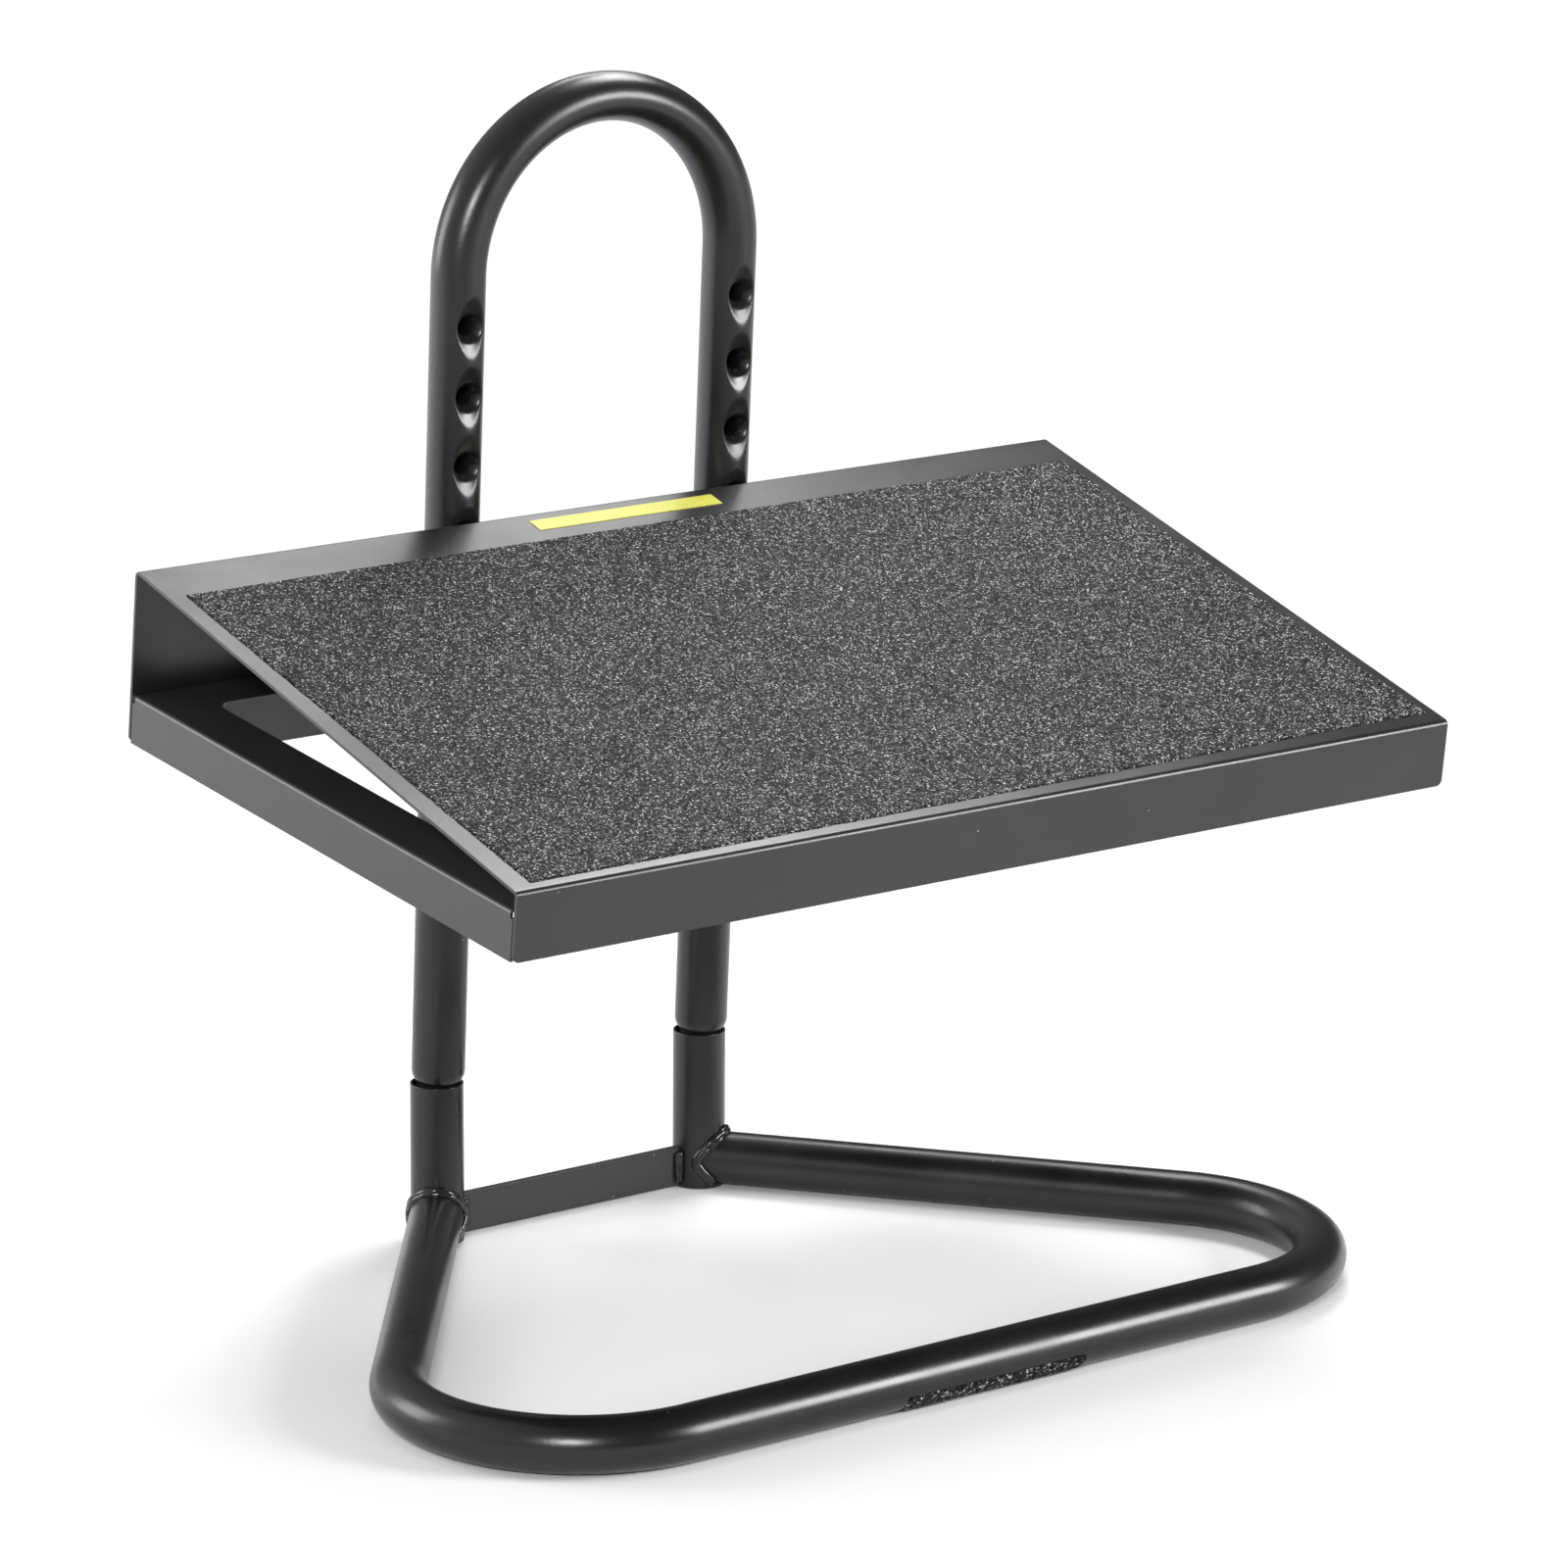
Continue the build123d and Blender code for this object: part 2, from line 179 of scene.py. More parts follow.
def tube_faces(first, rows, sides):
    """Quads between rings of vertices that start at number first, and a cap at each end."""
    faces = []
    for i in range(rows - 1):
        low, high = first + i * sides, first + (i + 1) * sides
        for j in range(sides):
            k = (j + 1) % sides
            faces.append((low + j, low + k, high + k, high + j))
    faces.append(tuple(first + j for j in range(sides))[::-1])
    faces.append(tuple(first + (rows - 1) * sides + j for j in range(sides)))
    return faces


def make_floor_loop():
    sides, steps = 56, 60
    notch_radius = 0.0119
    start = Vector((-post_x, post_line, floor_axis))
    corner = Vector((-corner_x, front_run, floor_axis))
    run = (corner - start).normalized()
    ahead = Vector((1, 0, 0))
    half_turn = run.angle(ahead) / 2
    setback = floor_bend * math.tan(half_turn)
    middle = corner + (ahead - run).normalized() * floor_bend / math.cos(half_turn)
    begin, end = corner - run * setback, corner + ahead * setback
    arm = begin - middle
    path = [(begin, run)]
    for k in range(1, steps):
        turn = Matrix.Rotation(2 * half_turn * k / steps, 3, "Z")
        path.append((middle + turn @ arm, turn @ run))
    path.append((end, ahead))
    mirrored = [(Vector((-p.x, p.y, p.z)), Vector((d.x, -d.y, d.z))) for p, d in reversed(path)]
    turns = [2 * math.pi * k / sides for k in range(sides)]

    def on_skin(middle, beside, turn):
        return middle + tube_radius * (math.cos(turn) * beside + math.sin(turn) * up)

    def cope(post, way, back):
        """The end ring, notched to sit just inside the post's wall."""
        beside = Vector((way.y, -way.x, 0)) * back
        ring = []
        for turn in turns:
            reach = math.sqrt(max(0.0, notch_radius ** 2 - (tube_radius * math.cos(turn)) ** 2))
            ring.append(on_skin(post + way * reach, beside, turn))
        return ring

    rows = []
    for point, way in path + mirrored:
        beside = Vector((way.y, -way.x, 0))
        rows.append([on_skin(point, beside, turn) for turn in turns])
    far_post, far_run = Vector((post_x, post_line, floor_axis)), Vector((-run.x, run.y, 0))
    rows = [cope(start, run, 1)] + rows + [cope(far_post, far_run, -1)]
    verts = [v for row in rows for v in row]
    faces = tube_faces(0, len(rows), sides)
    return new_piece("floor_loop_tube", "base", verts, faces, sharp_above=60)


floor_loop = make_floor_loop()
floor_loop.data.materials.append(tube_coat)
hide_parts("base_loop")


# Posts, brace and glides
# Short uprights of the same tube, joined close to the floor by a flat bar on edge.
# A black plastic plug with a flat foot closes the bottom of each post.
dress(tube_coat, "left_post", "right_post")
# The bar's coat is a paler copy of the tubes' black coat: a painted reflection of the floor on the bar's
# face.
dress(black_coat("bar_coat_painted_reflection", grey(0.02, 0.03), 0.42), "rear_brace")
edge_width = 0.0004


def round_edges(width, *names):
    """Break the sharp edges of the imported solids, so that they catch the light."""
    for name in names:
        node = nodes[name]
        weld = node.modifiers.new("joined_faces", "WELD")
        weld.merge_threshold = 0.00001
        bevel = node.modifiers.new("broken_edges", "BEVEL")
        bevel.limit_method = "ANGLE"
        bevel.angle_limit = math.radians(35)
        bevel.width = width
        bevel.segments = 2
        evened = node.modifiers.new("even_faces", "WEIGHTED_NORMAL")
        evened.weight = 50


round_edges(edge_width, "left_post", "right_post", "rear_brace")


def make_moulded_skin():
    """Moulded plastic: a fine spark-eroded texture, flow marks, and edges rubbed a little paler."""
    tree, given, made = shader_group(
        "moulded_skin",
        [("Color", "Color", grey(0.02)), ("Rubbed", "Color", grey(0.05)), ("Roughness", "Float", 0.5)],
        [("Color", "Color"), ("Roughness", "Float"), ("Height", "Float")])
    place = put(tree, "TexCoord").outputs["Object"]
    grain = put(tree, "TexNoise", {"Vector": place, "Scale": 1900.0, "Detail": 2.0}).outputs["Fac"]
    flow = put(tree, "TexNoise", {"Vector": place, "Scale": 60.0, "Detail": 4.0}).outputs["Fac"]
    corner = put(tree, "NewGeometry").outputs["Pointiness"]
    rubbed = math_node(tree, "MULTIPLY", remap(tree, corner, 0.52, 0.6), remap(tree, flow, 0.35, 0.65))
    toned = mix_colour(tree, remap(tree, flow, 0.3, 0.7, 0.0, 0.25), given["Color"], given["Rubbed"])
    tree.links.new(mix_colour(tree, rubbed, toned, given["Rubbed"]), made["Color"])
    gloss = math_node(tree, "ADD", given["Roughness"], remap(tree, flow, 0.3, 0.7, -0.06, 0.06))
    tree.links.new(gloss, made["Roughness"])
    tree.links.new(grain, made["Height"])
    return tree


moulded_skin = make_moulded_skin()


def moulded_plastic(name, color, roughness):
    feeds = {"Color": color, "Roughness": roughness}
    return skin_material(name, moulded_skin, feeds, relief=0.25, depth=0.0002)


dress(moulded_plastic("foot_plastic", grey(0.018), 0.6), "left_post_glide", "right_post_glide")


# Weld beads
# Two overlapping rows of steel laid round each coped end, and short upright runs at the brace's ends.
# They keep a slight ripple of the torch under the same coat, which flows over them and shines more.
def lay_rows(name, body, rows, seed):
    """One piece from welded rows; each row is (points, radius, ripple pitch)."""
    draw = np.random.default_rng(seed)
    sides, ring_step, least_rings = 10, 0.0005, 8
    thin, thick, wander = 0.84, 1.1, 0.00016
    valley, crest, blunt = 0.97, 0.05, 0.02
    verts, faces = [], []
    for points, radius, pitch in rows:
        points = np.array(points)
        step = np.linalg.norm(np.diff(points, axis=0), axis=1)
        along = np.concatenate([[0], np.cumsum(step)])
        count = max(least_rings, int(along[-1] / ring_step))
        marks = np.linspace(0, along[-1], count)
        path = np.stack([np.interp(marks, along, points[:, k]) for k in range(3)], axis=1)
        drops = int(along[-1] / pitch) + 2
        size = draw.uniform(thin, thick, drops)
        sway = draw.normal(0, wander, (drops, 3))
        first = len(verts)
        for i, mark in enumerate(marks):
            drop = mark / pitch
            k = int(drop)
            phase = drop - k
            ease = phase * phase * (3 - 2 * phase)
            bulge = valley + crest * math.sin(math.pi * phase)
            edge = min(mark, along[-1] - mark) / radius
            taper = math.sqrt(max(blunt, 1 - max(0.0, 1 - edge) ** 2))
            r = float(radius * (size[k] + ease * (size[k + 1] - size[k])) * bulge * taper)
            ahead = path[min(i + 1, count - 1)] - path[max(i - 1, 0)]
            ahead = Vector(ahead).normalized()
            over = ahead.orthogonal() if i == 0 else over - over.dot(ahead) * ahead
            over.normalize()
            beside = ahead.cross(over)
            middle = Vector(path[i] + sway[k] + ease * (sway[k + 1] - sway[k]))
            for j in range(sides):
                turn = 2 * math.pi * j / sides
                verts.append(middle + r * (math.cos(turn) * over + math.sin(turn) * beside))
        faces += tube_faces(first, count, sides)
    return new_piece(name, body, verts, faces)


weld_coat = black_coat("weld_coat", grey(0.012), 0.18, peel=0.8, dust=0.0)
run_side, run_front = 0.6175, 0.7866


def cope_rows(side):
    """The line where the floor loop meets its post, as a row on the post and a row on the tube."""
    run = Vector((side * run_side, -run_front, 0))
    over = Vector((run_front, side * run_side, 0))
    base = Vector((side * post_x, post_line, floor_axis))
    begin, end, stride = -48, 228, 3
    least_reach, steepness = 0.02, 4
    post_rise, post_off, tube_shift, tube_off = 0.0014, 0.0005, 0.0013, 0.0004
    post_radius, post_pitch, row_radius, row_pitch = 0.0018, 0.0046, 0.0019, 0.0041
    on_post, on_tube = [], []
    for degrees in range(begin, end + 1, stride):
        turn = math.radians(degrees)
        reach = tube_radius * math.sqrt(math.sin(turn) ** 2 + least_reach)
        tube_out = math.cos(turn) * over + math.sin(turn) * up
        post_out = (reach * run + tube_radius * math.cos(turn) * over).normalized()
        point = base + reach * run + tube_radius * tube_out
        lift = math.tanh(steepness * math.sin(turn))
        on_post.append(point + post_rise * lift * up + post_off * post_out)
        on_tube.append(point + tube_shift * run + tube_off * tube_out)
    return [(on_post, post_radius, post_pitch), (on_tube, row_radius, row_pitch)]


def brace_rows(side):
    """A full row and a thinner one on each face of the bar, where it meets the post."""
    bar_middle, bar_faces, spread = 0.1511, (0.1483, 0.1539), 0.1
    full_x, full_ends, full_radius, full_pitch = 0.0622, (0.0026, 0.0186), 0.0021, 0.0036
    thin_x, thin_ends, thin_radius, thin_pitch = 0.0606, (0.0028, 0.0176), 0.0012, 0.0030
    rows = []
    for y in bar_faces:
        thin_y = y + (y - bar_middle) * spread
        rows.append(([(side * full_x, y, z) for z in full_ends], full_radius, full_pitch))
        rows.append(([(side * thin_x, thin_y, z) for z in thin_ends], thin_radius, thin_pitch))
    return rows


for hand, side in (("left", -1), ("right", 1)):
    bead = lay_rows(hand + "_loop_bead", "base", cope_rows(side), seed=11 + side)
    end_bead = lay_rows(hand + "_brace_bead", "base", brace_rows(side), seed=21 + side)
    for piece, node in ((bead, "_loop_weld"), (end_bead, "_brace_weld")):
        piece.data.materials.append(weld_coat)
        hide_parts(hand + node)


# Front grip pad
# A strip of black grit on a rubber backing, wrapped under the front run of the floor loop.
# Its long edges are torn rather than cut clean.
def grit_sheet(name, body, wide, deep, cell, heights, ragged, seed, lay, flat_back):
    """Grains of random height on a thin backing; lay(u, v, h) puts a point of the sheet in place."""
    draw = np.random.default_rng(seed)
    shake, rim_share = 0.3, 0.6
    columns, rows = round(wide / cell), round(deep / cell)
    across = np.linspace(-wide / 2, wide / 2, columns + 1)
    along = np.linspace(-deep / 2, deep / 2, rows + 1)
    u, v = np.meshgrid(across, along)
    u = u + draw.uniform(-shake, shake, u.shape) * cell
    v = v + draw.uniform(-shake, shake, v.shape) * cell
    u = np.clip(u, -wide / 2, wide / 2)
    v = np.clip(v, -deep / 2, deep / 2)
    top = draw.uniform(heights[0], heights[1], u.shape)
    for edge in (np.s_[0, :], np.s_[-1, :]):
        v[edge] -= np.sign(v[edge]) * draw.uniform(0, ragged, v[edge].shape)
        top[edge] = heights[0] * rim_share
    for edge in (np.s_[:, 0], np.s_[:, -1]):
        u[edge] -= np.sign(u[edge]) * draw.uniform(0, ragged, u[edge].shape)
        top[edge] = heights[0] * rim_share
    verts = [lay(*point) for point in zip(u.ravel(), v.ravel(), top.ravel())]
    index = np.arange(u.size).reshape(u.shape)
    corners = [index[:-1, :-1], index[:-1, 1:], index[1:, 1:], index[1:, :-1]]
    faces = np.stack(corners, axis=-1).reshape(-1, 4).tolist()
    rim = [*index[0, :-1], *index[:-1, -1], *index[-1, :0:-1], *index[:0:-1, 0]]
    base = len(verts)
    if flat_back:
        verts += [lay(u.flat[i], v.flat[i], 0.0) for i in rim]
        low = {int(i): base + k for k, i in enumerate(rim)}
        verts.append(lay(0.0, 0.0, 0.0))
        hub = len(verts) - 1
        faces += [(low[int(j)], low[int(i)], hub) for i, j in zip(rim, rim[1:] + rim[:1])]
    else:
        verts += [lay(a, b, 0.0) for a, b in zip(u.ravel(), v.ravel())]
        low = {int(i): base + int(i) for i in rim}
        faces += [tuple(base + i for i in face[::-1]) for face in faces]
    faces += [(int(j), int(i), low[int(i)], low[int(j)]) for i, j in zip(rim, rim[1:] + rim[:1])]
    return new_piece(name, body, verts, faces, sharp_above=12)


pad_length, pad_half_wrap, pad_sink = 0.1, math.radians(75), 0.0001


def lay_pad(u, v, h):
    turn = v / tube_radius
    r = tube_radius - pad_sink + h
    return (u, front_run + r * math.sin(turn), floor_axis - r * math.cos(turn))


pad = grit_sheet(
    "grip_pad", "base", pad_length, 2 * pad_half_wrap * tube_radius, cell=0.001,
    heights=(0.0004, 0.00105), ragged=0.0012, seed=5, lay=lay_pad, flat_back=False)


def make_grain_tones():
    """Each grain its own tone: mostly dark, some pale and glinting."""
    tree, given, made = shader_group(
        "grain_tones",
        [("Size", "Float", 0.0008), ("Lift", "Float", 1.0)],
        [("Color", "Color"), ("Roughness", "Float"), ("Height", "Float")])
    place = put(tree, "TexCoord").outputs["Object"]
    per_metre = math_node(tree, "DIVIDE", 1.0, given["Size"])
    grains = put(tree, "TexVoronoi", {"Vector": place, "Scale": per_metre})
    draw = put(tree, "SeparateColor", {"Color": grains.outputs["Color"]})
    ramp = put(tree, "ValToRGB", {"Fac": draw.outputs[0]})
    stops = ramp.color_ramp.elements
    stops[0].color = grey(0.004)
    stops[1].color = grey(0.85, 0.02)
    for at, tone in ((0.35, 0.01), (0.6, 0.025), (0.8, 0.08), (0.91, 0.3)):
        stops.new(at).color = grey(tone, 0.015)
    lift = put(tree, "CombineColor", {k: given["Lift"] for k in range(3)}).outputs[0]
    tree.links.new(mix_colour(tree, 1.0, ramp.outputs["Color"], lift, "MULTIPLY"), made["Color"])
    tree.links.new(remap(tree, draw.outputs[1], 0.0, 1.0, 0.4, 0.95), made["Roughness"])
    tree.links.new(grains.outputs["Distance"], made["Height"])
    return tree


grain_tones = make_grain_tones()


def grit_material(name, size, lift):
    feeds = {"Size": size, "Lift": lift}
    return skin_material(name, grain_tones, feeds, relief=0.5, depth=0.0003, Specular_IOR_Level=0.15)


pad.data.materials.append(grit_material("pad_grit", 0.0011, 0.4))
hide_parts("front_grip_pad")


# Upper loop
# One tube bent into an arch; its ends are swaged to plug into the posts.
# A row of pressed dimples with through holes runs down the front of each leg.
def tilted(place, angle, axis):
    """A frame moved to that place and turned there."""
    return Matrix.Translation(place) @ Matrix.Rotation(angle, 4, axis)


pivot_height, loop_lean = 0.0586, math.radians(3.0)
loop_place = tilted((0, post_line, pivot_height), loop_lean, "X")


def make_upper_loop():
    radius, half_span, wall = tube_radius, post_x, 0.0015
    plug_low, neck_top, shoulder_top, arch_base = -0.018, 0.0189, 0.025, 0.4008
    neck = 0.010
    top_hole, pitch, count, hole = 0.3791, 0.032, 8, 0.0042
    dish_radius, dish_depth, throat, dimple_depth = 0.0144, 0.0024, 0.0065, 0.0062
    rim_blend, throat_blend, dimple_reach = 0.0006, 0.0018, 0.004
    flat = 0.10
    levels = [top_hole - pitch * i for i in range(count)][::-1]
    gentle = dish_depth / (dish_radius - throat)
    steep = (dimple_depth - dish_depth) / (throat - hole)
    half_patch = math.radians(64)
    across, upward, rings, crowding = 18, 20, 18, 1.25
    side_cells, arch_steps, nudge = 12, 72, 1e-4
    front = np.linspace(-half_patch, half_patch, across + 1)
    back = np.linspace(math.pi - half_patch, math.pi + half_patch, across + 1)
    right = np.linspace(half_patch, math.pi - half_patch, side_cells + 1)[1:-1]
    left = np.linspace(math.pi + half_patch, 2 * math.pi - half_patch, side_cells + 1)[1:-1]
    angles = np.concatenate([front, right, back, left])
    cells = len(angles)

    def soft_most(first, second, blend):
        """The greater of two values, with a rounded change from one to the other."""
        share = min(1.0, max(0.0, 0.5 + 0.5 * (second - first) / blend))
        return first * (1 - share) + second * share + blend * share * (1 - share)

    def leg_surface(angle, level):
        """Point of the outer skin round a leg: x to the inside of the loop, y to the back."""
        if level < neck_top:
            r = neck
        elif level < shoulder_top:
            step, rise = radius - neck, shoulder_top - neck_top
            bow = (step ** 2 + rise ** 2) / (2 * step)
            r = radius - bow + math.sqrt(bow ** 2 - (shoulder_top - level) ** 2)
        else:
            r = radius
        x, y = r * math.sin(angle), -r * math.cos(angle)
        if level > levels[0] - pitch and y < dimple_reach:
            away = min(abs(level - seat) for seat in levels)
            off = math.hypot(x, away)
            y = soft_most(y, gentle * (dish_radius - off) - radius, rim_blend)
            y = soft_most(y, dish_depth + steep * (throat - off) - radius, throat_blend)
        return np.array((x, y, level))

    def leg_skins(angle, level):
        """Outer and inner points, the inner one a wall's thickness below the skin."""
        swing = 0.004
        at = leg_surface(angle, level)
        along = leg_surface(angle, level + nudge) - leg_surface(angle, level - nudge)
        about = leg_surface(angle + swing, level) - leg_surface(angle - swing, level)
        normal = np.cross(along, about)
        normal /= np.linalg.norm(normal)
        return at, at + normal * wall

    outer, inner, faces, hole_rims = [], [], [], []

    def add(pair):
        outer.append(pair[0])
        inner.append(pair[1])
        return len(outer) - 1

    def on_leg(side, angle, level):
        pair = leg_skins(angle, level)
        flip = np.array((-side, 1, 1))
        shift = np.array((side * half_span, 0, 0))
        return add([point * flip + shift for point in pair])

    def on_arch(turn, angle):
        centre = np.array((-half_span * math.cos(turn), 0, arch_base + half_span * math.sin(turn)))
        out = np.array((-math.cos(turn), 0, math.sin(turn)))
        squeeze = 1 - flat * math.sin(turn) ** 2
        pair = []
        for r in (radius, radius - wall):
            pair.append(centre - r * math.sin(angle) * squeeze * out - np.array((0, r * math.cos(angle), 0)))
        return add(pair)

    def strip(first, second, skip=()):
        for i in range(cells):
            j = (i + 1) % cells
            if i not in skip:
                faces.append((first[i], first[j], second[j], second[i]))

    plain = [*np.linspace(plug_low, neck_top - nudge, 3), *np.linspace(neck_top, shoulder_top, 9)]
    plain += [*np.linspace(shoulder_top, levels[0] - pitch / 2, 10)[1:]]
    back_start = across + 1 + len(right)
    patches = [range(0, across), range(back_start, back_start + across)]
    skipped = set(i for patch in patches for i in patch)

    def leg_rows(side):
        """Rows of one leg from the plugged end to the arch, with the holed patches filled in."""
        rows = [[on_leg(side, a, level) for a in angles] for level in plain]
        for first, second in zip(rows, rows[1:]):
            strip(first, second)
        last = rows[-1]
        for seat in levels:
            steps = np.linspace(-pitch / 2, pitch / 2, upward + 1)
            band = [last]
            for number, step in enumerate(steps[1:], 1):
                row = []
                for i, a in enumerate(angles):
                    within = any(patch.start < i < patch.stop for patch in patches)
                    row.append(None if within and number < upward else on_leg(side, a, seat + step))
                band.append(row)
            for first, second in zip(band, band[1:]):
                strip(first, second, skipped)
            for patch in patches:
                ring = [(band[0][i], angles[i], steps[0]) for i in range(patch.start, patch.stop)]
                ring += [(band[k][patch.stop], angles[patch.stop], steps[k]) for k in range(upward)]
                ring += [(band[upward][i], angles[i], steps[-1]) for i in range(patch.stop, patch.start, -1)]
                ring += [(band[k][patch.start], angles[patch.start], steps[k]) for k in range(upward, 0, -1)]
                middle = 0.0 if patch.start == 0 else math.pi
                loops = [[point[0] for point in ring]]
                for m in range(1, rings + 1):
                    share = 1 - (1 - m / rings) ** crowding
                    loop = []
                    for _, a, step in ring:
                        wide, tall = (a - middle) / half_patch, step / (pitch / 2)
                        turn = math.atan2(tall, wide)
                        x_edge = radius * math.sin(a - middle)
                        x = x_edge * (1 - share) + hole * math.cos(turn) * share
                        z = step * (1 - share) + hole * math.sin(turn) * share
                        loop.append(on_leg(side, middle + math.asin(x / radius), seat + z))
                    loops.append(loop)
                size = len(ring)
                for first, second in zip(loops, loops[1:]):
                    for i in range(size):
                        j = (i + 1) % size
                        faces.append((first[i], first[j], second[j], second[i]))
                hole_rims.append(loops[-1])
            last = band[-1]
        return rows[0], last

    left_end, left_top = leg_rows(-1)
    left_faces = len(faces)
    right_end, right_top = leg_rows(1)
    for k in range(left_faces, len(faces)):
        faces[k] = faces[k][::-1]
    row = left_top
    for k in range(arch_steps + 1):
        new = [on_arch(math.pi * k / arch_steps, a) for a in angles]
        strip(row, new)
        row = new
    strip(row, right_top)
    shift = len(outer)
    shell = [face[::-1] for face in faces] + [tuple(i + shift for i in face) for face in faces]
    for loop in hole_rims + [left_end, right_end]:
        for i in range(len(loop)):
            j = (i + 1) % len(loop)
            shell.append((loop[i], loop[j], loop[j] + shift, loop[i] + shift))
    verts = [loop_place @ Vector(point) for point in outer + inner]
    return new_piece("upper_loop_tube", "loop", verts, shell, sharp_above=50, turn_out=True)


upper_loop = make_upper_loop()
upper_loop.data.materials.append(tube_coat)
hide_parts("upper_loop")


# Bolts, washers, nuts and rivets
# Zinc-plated steel: one M8 bolt through each leg, with its washer and the nut inside the knob.
# The rivets that hold the guide straps are plated the same way.
def make_zinc():
    """Bright zinc: a cool metal with faint straw and blue bloom and fine turning marks."""
    material, tree, shader = new_material("zinc", Metallic=1.0)
    place = put(tree, "TexCoord").outputs["Object"]
    bloom = put(tree, "TexNoise", {"Vector": place, "Scale": 130.0, "Detail": 3.0}).outputs["Fac"]
    marks = put(tree, "TexNoise", {"Vector": place, "Scale": 2400.0, "Detail": 1.0}).outputs["Fac"]
    blue, straw = (0.50, 0.52, 0.56, 1), (0.62, 0.58, 0.47, 1)
    tone = mix_colour(tree, remap(tree, bloom, 0.35, 0.65), blue, straw)
    tree.links.new(tone, shader.inputs["Base Color"])
    tree.links.new(remap(tree, bloom, 0.3, 0.7, 0.24, 0.42), shader.inputs["Roughness"])
    bump = put(tree, "Bump", {"Height": marks, "Strength": 0.15, "Distance": 0.0001})
    tree.links.new(bump.outputs["Normal"], shader.inputs["Normal"])
    return material


zinc = make_zinc()
for hand in ("left", "right"):
    dress(zinc, hand + "_bolt", hand + "_washer", hand + "_knob_nut", hand + "_strap_rivets")


# Foot plate, tray and guide straps
# Two pressings of 1.5 mm sheet steel, folded and spot-welded together, and straps of the same sheet.
# All are satin black; the tray's coat is painted greyer, as painted light on the plate that lies in shade
# under the panel.
dress(black_coat("sheet_coat", grey(0.010), 0.32), "foot_plate", "left_guide_strap", "right_guide_strap")
# Painted light: the tray's coat is greyer than the other sheet parts, to lighten its shaded plate.
dress(black_coat("pan_coat_painted_light", grey(0.022), 0.33), "tray")
round_edges(edge_width, "foot_plate", "tray", "left_guide_strap", "right_guide_strap")


# Tread sheet
# Coarse charcoal grit on a self-adhesive film, laid on the sloping top.
# It was stuck down a little off square, and its edges crumble grain by grain.
platform_back, platform_level, platform_droop = -0.0128, 0.2124, math.radians(3.3)
rear_height, front_height, plate_depth = 0.0795, 0.0308, 0.299
plate_slope = math.atan2(rear_height - front_height, plate_depth)
tread_width, tread_length = 0.493, 0.269
tread_shift, tread_middle, tread_skew = 0.0015, -0.161, math.radians(0.43)
platform_place = loop_place @ tilted((0, platform_back, platform_level), platform_droop, "X")
plate_place = platform_place @ tilted((0, 0, rear_height), plate_slope, "X")
tread_place = plate_place @ tilted((tread_shift, tread_middle, 0), tread_skew, "Z")


def lay_tread(u, v, h):
    return tread_place @ Vector((u, v, h))


tread = grit_sheet(
    "tread_grains", "platform", tread_width, tread_length, cell=0.0011,
    heights=(0.0005, 0.00088), ragged=0.0007, seed=8, lay=lay_tread, flat_back=True)
tread.data.materials.append(grit_material("tread_grit", 0.00065, 0.62))
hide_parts("tread_sheet")


# Marker strip
# Plain yellow vinyl, stuck to the bare margin behind the tread.
# Its edges have gathered a little soil.
def make_vinyl():
    """Yellow film: slight mottle, soil along the edges, and a satin face."""
    material, tree, shader = new_material("marker_vinyl", IOR=1.48)
    ways = put(tree, "TexCoord").outputs
    mottle = put(tree, "TexNoise", {"Vector": ways["Object"], "Scale": 420.0, "Detail": 4.0}).outputs["Fac"]
    ripple = put(tree, "TexNoise", {"Vector": ways["Object"], "Scale": 90.0, "Detail": 1.0}).outputs["Fac"]
    spread = put(tree, "SeparateXYZ", {"Vector": ways["Generated"]})
    ends = math_node(tree, "ABSOLUTE", math_node(tree, "SUBTRACT", spread.outputs["X"], 0.5))
    flanks = math_node(tree, "ABSOLUTE", math_node(tree, "SUBTRACT", spread.outputs["Y"], 0.5))
    rim = math_node(tree, "MAXIMUM", remap(tree, ends, 0.492, 0.5), remap(tree, flanks, 0.42, 0.5))
    soil = math_node(tree, "MULTIPLY", rim, remap(tree, mottle, 0.4, 0.65))
    deep, pale, soiled = (0.55, 0.535, 0.06, 1), (0.62, 0.6, 0.085, 1), (0.36, 0.33, 0.07, 1)
    film = mix_colour(tree, remap(tree, mottle, 0.35, 0.65), deep, pale)
    tree.links.new(mix_colour(tree, soil, film, soiled), shader.inputs["Base Color"])
    tree.links.new(remap(tree, mottle, 0.3, 0.7, 0.34, 0.5), shader.inputs["Roughness"])
    bump = put(tree, "Bump", {"Height": ripple, "Strength": 0.12, "Distance": 0.0005})
    tree.links.new(bump.outputs["Normal"], shader.inputs["Normal"])
    return material


dress(make_vinyl(), "marker_strip")


# Knobs
# Five-lobed clamping knobs moulded in black plastic.
# They turn on the bolts behind the legs.
dress(moulded_plastic("knob_plastic", grey(0.016), 0.46), "left_knob", "right_knob")


# Floor, light and camera
# A pale floor under soft studio light, glowing far out with painted light that differs by side, seen from
# the photograph's angle.
floor_half = 30
floor_corners = [(floor_half * x, floor_half * y, 0) for x, y in ((-1, -1), (1, -1), (1, 1), (-1, 1))]
floor_mesh = bpy.data.meshes.new("floor")
floor_mesh.from_pydata(floor_corners, [], [(0, 1, 2, 3)])
floor = bpy.data.objects.new("floor", floor_mesh)
scene.collection.objects.link(floor)


def facing(tree, way, side):
    """How far a direction points to that side, from -1 to 1."""
    return put(tree, "VectorMath", {0: way, 1: side}, operation="DOT_PRODUCT").outputs["Value"]


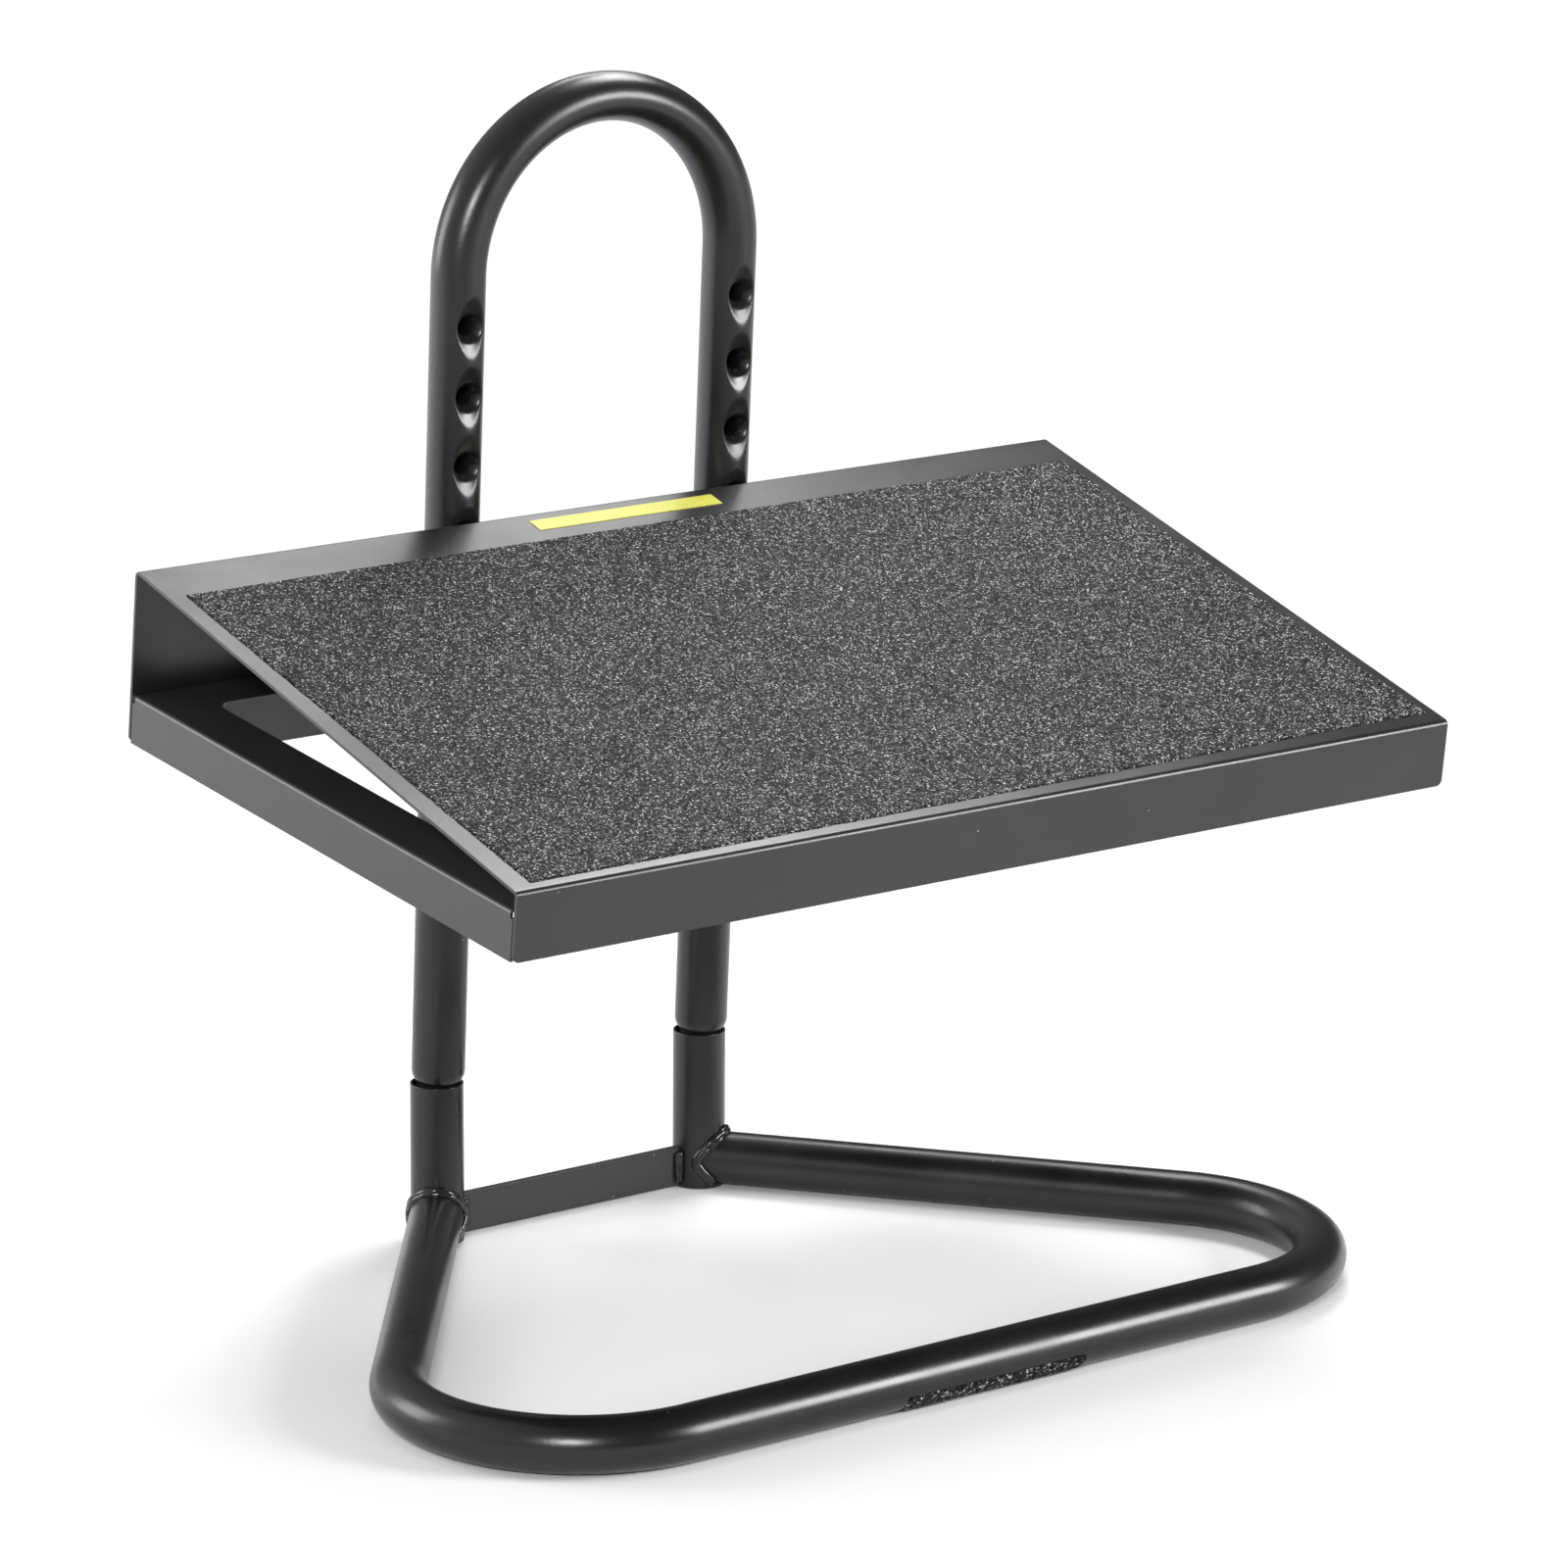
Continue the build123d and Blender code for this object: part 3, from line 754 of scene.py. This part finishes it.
def make_floor_paint():
    """Pale matt paint near the object; far from it a glow for camera, glossy and transmission rays, painted
    dimmer towards the camera side and brighter to the left, so the tubes show painted shade and a painted
    reflection.
    """
    glow_start, glow_full = 0.6, 1.6
    near_side, left_side = (-0.6, -0.8, 0), (-0.7, 0.7, 0)
    material, tree, shader = new_material(
        "floor_paint", Roughness=0.9, Specular_IOR_Level=0.1, Emission_Strength=1.0)
    place = put(tree, "TexCoord").outputs["Object"]
    reach = put(tree, "VectorMath", {0: place}, operation="LENGTH").outputs["Value"]
    way = put(tree, "VectorMath", {0: place}, operation="NORMALIZE").outputs[0]
    ray = put(tree, "LightPath").outputs
    seen = math_node(tree, "MAXIMUM", ray["Is Glossy Ray"], ray["Is Transmission Ray"])
    seen = math_node(tree, "MAXIMUM", seen, ray["Is Camera Ray"])
    far = math_node(tree, "MULTIPLY", seen, remap(tree, reach, glow_start, glow_full))
    # Painted shade in the far glow: dimmer towards the camera side, so the fronts of the tubes reflect it
    # darker.
    level = remap(tree, facing(tree, way, near_side), 0.3, 0.95, 1.03, 0.65)
    # Painted reflection: the far glow is brighter to the left, so the legs show light left edges.
    painted_left_glow = remap(tree, facing(tree, way, left_side), 0.5, 0.95, 0.0, 0.9)
    glow = math_node(tree, "MULTIPLY", far, math_node(tree, "ADD", level, painted_left_glow))
    white = put(tree, "CombineColor", {k: glow for k in range(3)}).outputs[0]
    tree.links.new(mix_colour(tree, far, grey(0.86), grey(0.0)), shader.inputs["Base Color"])
    tree.links.new(white, shader.inputs["Emission Color"])
    return material


floor_mesh.materials.append(make_floor_paint())

world = bpy.data.worlds.new("studio")
scene.world = world
world.use_nodes = True
sky = world.node_tree
backdrop = sky.nodes["Background"].inputs
bright_side, dim, bright = (-0.8, 0.55, 0.25), 0.12, 0.9
toward = facing(sky, put(sky, "TexCoord").outputs["Generated"], bright_side)
backdrop["Color"].default_value = grey(1.0)
sky.links.new(remap(sky, toward, 0.1, 0.95, dim, bright), backdrop["Strength"])

sun_way = Vector((-0.15, 0.12, -0.98))
overhead = bpy.data.lights.new("overhead_light", "SUN")
overhead.energy = 0.5
overhead.angle = math.radians(50)
overhead_light = bpy.data.objects.new("overhead_light", overhead)
overhead_light.rotation_euler = sun_way.to_track_quat("-Z", "Y").to_euler()
overhead_light.visible_glossy = False
scene.collection.objects.link(overhead_light)


def softbox(name, place, aim, size, watts):
    """A square or oblong lamp at that place, turned to what it lights."""
    lamp = bpy.data.lights.new(name, "AREA")
    lamp.shape = "RECTANGLE"
    lamp.size, lamp.size_y = size
    lamp.energy = watts
    box = bpy.data.objects.new(name, lamp)
    box.location = place
    box.rotation_euler = (Vector(aim) - Vector(place)).to_track_quat("-Z", "Y").to_euler()
    scene.collection.objects.link(box)


heart = (0, 0, 0.3)
softbox("right_front_light", (1.51, -2.0, 0.97), heart, (0.85, 0.85), 64)
softbox("left_front_light", (-1.8, -1.95, 1.3), heart, (0.55, 0.55), 48)
softbox("top_light", (0.58, 0.36, 1.30), (-0.02, 0.12, 0.45), (0.42, 0.4), 9)
softbox("back_light", (0.62, 0.90, 1.22), (-0.1, 0, 0.3), (0.5, 0.36), 3.2)
softbox("side_light", (-1.7, 1.8, 0.9), heart, (1.2, 1.2), 28)

sensor_mm, focal_px, picture_px = 36, 6980.22, 1600
camera_data = bpy.data.cameras.new("camera")
camera_data.sensor_width = sensor_mm
camera_data.lens = sensor_mm * focal_px / picture_px
camera = bpy.data.objects.new("camera", camera_data)
scene.collection.objects.link(camera)
camera_place = Vector((-1.77773, -2.37811, 1.00059))
right = Vector((0.8001945, -0.5996969, 0.0072409))
down = Vector((-0.1432262, -0.2028074, -0.9686875))
ahead = Vector((0.5823874, 0.7741013, -0.2481776))
camera_turn = Matrix((right, -down, -ahead)).transposed().to_4x4()
camera.matrix_world = Matrix.Translation(camera_place) @ camera_turn
scene.camera = camera
